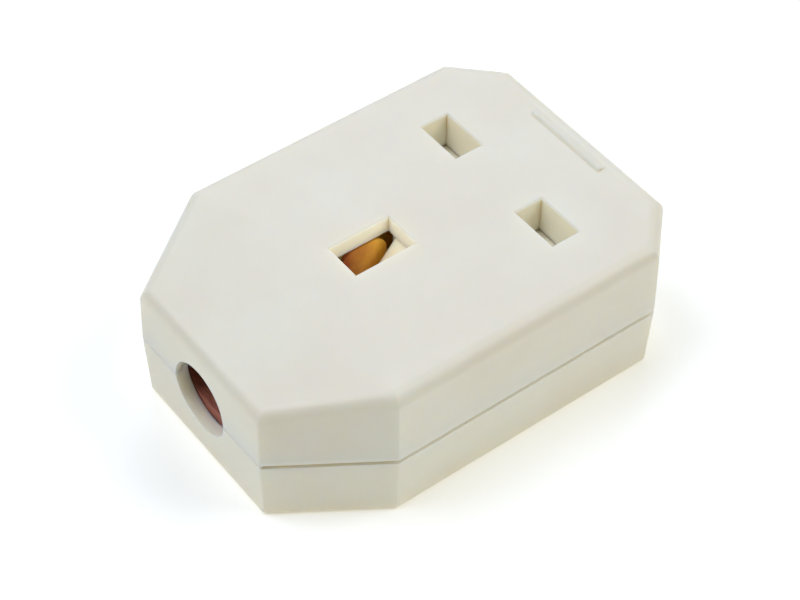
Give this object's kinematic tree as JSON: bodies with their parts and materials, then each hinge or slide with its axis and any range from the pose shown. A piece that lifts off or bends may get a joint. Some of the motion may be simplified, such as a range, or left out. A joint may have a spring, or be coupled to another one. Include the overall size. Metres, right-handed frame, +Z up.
{
  "type": "extension socket",
  "caption": "Flat octagonal trailing mains socket in two screwed halves, with rectangular pin apertures, a sprung sliding shutter and a round cable entry.",
  "frame": {"origin": "under the middle of the case, on the surface that it rests on", "axes": "+Z up through the socket face, +Y from the cable end to the far end, +X across the case"},
  "size_m": [0.0528, 0.073, 0.0255],
  "materials": {
    "case": "moulded, fine satin",
    "shutter": "moulded, smooth satin",
    "brass": "rolled strip, lightly tarnished",
    "steel": "zinc plated",
    "fibre": "red vulcanised fibre"
  },
  "bodies": {
    "housing": {"top_cover": "case", "base": "case", "shutter_spring": "steel", "shutter_retainer": "shutter", "retainer_screws": "steel", "line_contact": "brass", "neutral_contact": "brass", "earth_contact": "brass", "line_terminal": "brass", "neutral_terminal": "brass", "earth_terminal": "brass", "terminal_screws": "brass", "cord_clamp": "fibre", "cord_clamp_screws": "steel", "case_screws": "steel", "case_inserts": "brass", "case_screw_washers": "fibre"},
    "shutter": {"shutter": "shutter"}
  },
  "joints": [
    {"name": "shutter_slide", "type": "slide", "parent": "housing", "child": "shutter", "axis": [0, 1, 0], "range_m": [0, 0.0056], "stiffness_N_per_m": 100, "springref_m": -0.004, "deforming": ["shutter_spring"]}
  ]
}
